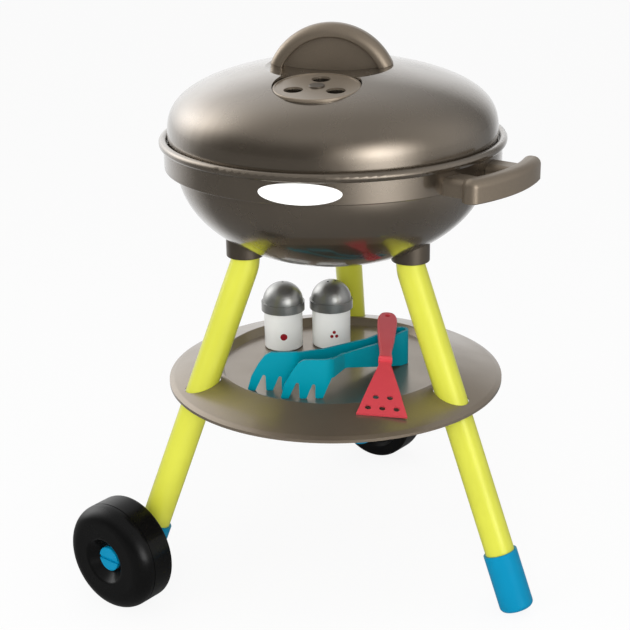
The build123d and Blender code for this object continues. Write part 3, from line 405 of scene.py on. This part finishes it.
class BARBECUE_OT_stage(bpy.types.Operator):
    """Adds the floor, the lamps, the surroundings and the camera"""

    bl_idname = "barbecue.stage"
    bl_label = "Stage"

    def execute(self, context):
        studio = context.scene.barbecue_studio
        add_floor(studio)
        add_world(context.scene, studio)
        add_lamp("key_lamp", *KEY_LAMP, studio.key_power)
        add_lamp("fill_lamp", *FILL_LAMP, studio.fill_power)
        add_lamp("top_lamp", *TOP_LAMP, studio.top_power)
        add_camera(context.scene, studio)
        context.scene.view_settings.view_transform = "Standard"
        return {"FINISHED"}


def number(tree, operation, first, second):
    """Works on two sockets or numbers with one Math node."""
    node = tree.nodes.new("ShaderNodeMath")
    node.operation = operation
    for socket, value in zip(node.inputs, (first, second)):
        if isinstance(value, (int, float)):
            socket.default_value = value
        else:
            tree.links.new(value, socket)
    return node.outputs["Value"]


def towards(tree, direction, azimuth, height, sharpness):
    """One where a direction points at a place in the studio, fading smoothly to zero round it."""
    dot = tree.nodes.new("ShaderNodeVectorMath")
    dot.operation = "DOT_PRODUCT"
    tree.links.new(direction, dot.inputs[0])
    flat = cos(radians(height))
    dot.inputs[1].default_value = (
        flat * cos(radians(azimuth)), flat * sin(radians(azimuth)), sin(radians(height)))
    return number(tree, "POWER", number(tree, "MAXIMUM", dot.outputs["Value"], 0.0), sharpness)


def faded(tree, value, start, end):
    """Rises smoothly from zero to one between two values."""
    node = tree.nodes.new("ShaderNodeMapRange")
    node.interpolation_type = "SMOOTHSTEP"
    node.inputs["From Min"].default_value = start
    node.inputs["From Max"].default_value = end
    tree.links.new(value, node.inputs["Value"])
    return node.outputs["Result"]


def studio_level(tree, direction, studio):
    """How bright the studio is in a direction: white low behind, darker elsewhere, and four soft boxes."""
    height = tree.nodes.new("ShaderNodeSeparateXYZ")
    tree.links.new(direction, height.inputs["Vector"])
    upward = height.outputs["Z"]
    overhead = faded(tree, upward, *OVERHEAD_RISE)
    base = number(tree, "MULTIPLY", overhead, studio.top_level - studio.front_level)
    base = number(tree, "ADD", base, studio.front_level)
    behind = faded(tree, towards(tree, direction, BACKDROP_AZIMUTH, 0, 1.0), *BACKDROP_RISE)
    low = number(tree, "SUBTRACT", 1.0, faded(tree, upward, *BACKDROP_FALL))
    backdrop = number(tree, "MULTIPLY", number(tree, "MULTIPLY", behind, low), studio.backdrop_level)
    level = number(tree, "MAXIMUM", base, backdrop)
    boxes = ((LEFT_BOX, studio.left_box), (BACK_BOX, studio.back_box), (RIGHT_BOX, studio.right_box),
             (SIDE_BOX, studio.side_box))
    for box, strength in boxes:
        lit = number(tree, "MULTIPLY", towards(tree, direction, *box), strength)
        level = number(tree, "ADD", level, lit)
    return level


def light_path(tree):
    """The sockets that tell the camera's rays and the mirrored ones from the light on the object."""
    path = tree.nodes.new("ShaderNodeLightPath")
    straight = number(tree, "MAXIMUM", path.outputs["Is Camera Ray"], path.outputs["Is Transmission Ray"])
    return straight, path.outputs["Is Glossy Ray"]


def add_floor(studio):
    """A wide pale floor that keeps the object's soft shadow and shows in its gloss."""
    bm = bmesh.new()
    bmesh.ops.create_grid(bm, x_segments=1, y_segments=1, size=FLOOR_HALF)
    mesh = bpy.data.meshes.new("floor")
    bm.to_mesh(mesh)
    bm.free()
    floor = bpy.data.objects.new("floor", mesh)
    bpy.context.scene.collection.objects.link(floor)
    material = bpy.data.materials.new("pale_floor")
    material.use_nodes = True
    tree = material.node_tree
    tree.nodes.clear()
    diffuse = tree.nodes.new("ShaderNodeBsdfDiffuse")
    diffuse.inputs["Color"].default_value = FLOOR_WHITE
    place = tree.nodes.new("ShaderNodeTexCoord")
    below = tree.nodes.new("ShaderNodeVectorMath")
    below.operation = "SUBTRACT"
    below.inputs[1].default_value = (0, 0, STUDIO_EYE)
    tree.links.new(place.outputs["Object"], below.inputs[0])
    outward = tree.nodes.new("ShaderNodeVectorMath")
    outward.operation = "NORMALIZE"
    tree.links.new(below.outputs["Vector"], outward.inputs[0])
    straight, mirrored = light_path(tree)
    level = studio_level(tree, outward.outputs["Vector"], studio)
    glow = tree.nodes.new("ShaderNodeEmission")
    unseen = number(tree, "MULTIPLY", level, number(tree, "SUBTRACT", 1.0, straight))
    tree.links.new(number(tree, "ADD", unseen, straight), glow.inputs["Strength"])
    share = number(tree, "ADD", number(tree, "MULTIPLY", straight, FLOOR_GLOW),
                   number(tree, "MULTIPLY", mirrored, MIRRORED_GLOW))
    mix = tree.nodes.new("ShaderNodeMixShader")
    tree.links.new(share, mix.inputs["Fac"])
    tree.links.new(diffuse.outputs["BSDF"], mix.inputs[1])
    tree.links.new(glow.outputs["Emission"], mix.inputs[2])
    output = tree.nodes.new("ShaderNodeOutputMaterial")
    tree.links.new(mix.outputs["Shader"], output.inputs["Surface"])
    mesh.materials.append(material)


def add_world(scene, studio):
    """A soft surrounding that shows white behind the grill and is darker in front of it."""
    world = bpy.data.worlds.new("studio")
    world.use_nodes = True
    tree = world.node_tree
    background = tree.nodes["Background"]
    background.inputs["Color"].default_value = (1, 1, 1, 1)
    place = tree.nodes.new("ShaderNodeTexCoord")
    straight, mirrored = light_path(tree)
    level = number(tree, "MULTIPLY", studio_level(tree, place.outputs["Generated"], studio), mirrored)
    soft = number(tree, "MULTIPLY", number(tree, "SUBTRACT", 1.0, mirrored), studio.soft_level)
    level = number(tree, "ADD", level, soft)
    unseen = number(tree, "MULTIPLY", level, number(tree, "SUBTRACT", 1.0, straight))
    tree.links.new(number(tree, "ADD", unseen, straight), background.inputs["Strength"])
    scene.world = world


def add_lamp(name, place, target, size, power):
    """A square soft lamp that points at a target and doesn't show in the gloss."""
    lamp = bpy.data.lights.new(name, "AREA")
    lamp.shape = "SQUARE"
    lamp.size = size
    lamp.energy = power
    obj = bpy.data.objects.new(name, lamp)
    obj.location = place
    aim = Vector(target) - Vector(place)
    obj.rotation_euler = aim.to_track_quat("-Z", "Y").to_euler()
    obj.visible_glossy = False
    bpy.context.scene.collection.objects.link(obj)


def add_camera(scene, studio):
    """The camera where the photograph was taken from."""
    data = bpy.data.cameras.new("camera")
    data.sensor_width = SENSOR_WIDTH
    data.lens = studio.lens
    camera = bpy.data.objects.new("camera", data)
    yaw, pitch, roll = CAMERA_YAW, CAMERA_PITCH, CAMERA_ROLL
    ahead = Vector((-sin(yaw) * cos(pitch), cos(yaw) * cos(pitch), -sin(pitch)))
    level = Vector((cos(yaw), sin(yaw), 0))
    upright = Vector((-sin(yaw) * sin(pitch), cos(yaw) * sin(pitch), cos(pitch)))
    right = cos(roll) * level - sin(roll) * upright
    top = sin(roll) * level + cos(roll) * upright
    turn = Matrix((right, top, -ahead)).transposed().to_4x4()
    camera.matrix_world = Matrix.Translation(CAMERA_PLACE) @ turn
    data.clip_start, data.clip_end = CLIP_RANGE
    scene.collection.objects.link(camera)
    scene.camera = camera


class BARBECUE_PT_panel(bpy.types.Panel):
    """Lists the steps that dress the barbecue"""

    bl_label = "Toy Barbecue"
    bl_idname = "BARBECUE_PT_panel"
    bl_space_type = "VIEW_3D"
    bl_region_type = "UI"
    bl_category = "Barbecue"

    def draw(self, context):
        for step in STEPS:
            self.layout.operator(step.bl_idname)


STEPS = (BARBECUE_OT_stage, BARBECUE_OT_finishes, BARBECUE_OT_marks)
CLASSES = (BARBECUE_PG_finish, BARBECUE_PG_marks, BARBECUE_PG_studio, *STEPS, BARBECUE_PT_panel)


def register():
    """Adds the classes and the scene's settings."""
    for item in CLASSES:
        bpy.utils.register_class(item)
    bpy.types.Scene.barbecue_finish = PointerProperty(type=BARBECUE_PG_finish)
    bpy.types.Scene.barbecue_marks = PointerProperty(type=BARBECUE_PG_marks)
    bpy.types.Scene.barbecue_studio = PointerProperty(type=BARBECUE_PG_studio)


def unregister():
    """Takes them away again."""
    del bpy.types.Scene.barbecue_studio
    del bpy.types.Scene.barbecue_marks
    del bpy.types.Scene.barbecue_finish
    for item in reversed(CLASSES):
        bpy.utils.unregister_class(item)


def main():
    """Runs every step in order."""
    register()
    for step in STEPS:
        group, operator = step.bl_idname.split(".")
        result = getattr(getattr(bpy.ops, group), operator)()
        if "FINISHED" not in result:
            raise RuntimeError(f"{step.bl_idname} did not finish")


if __name__ == "__main__":
    main()
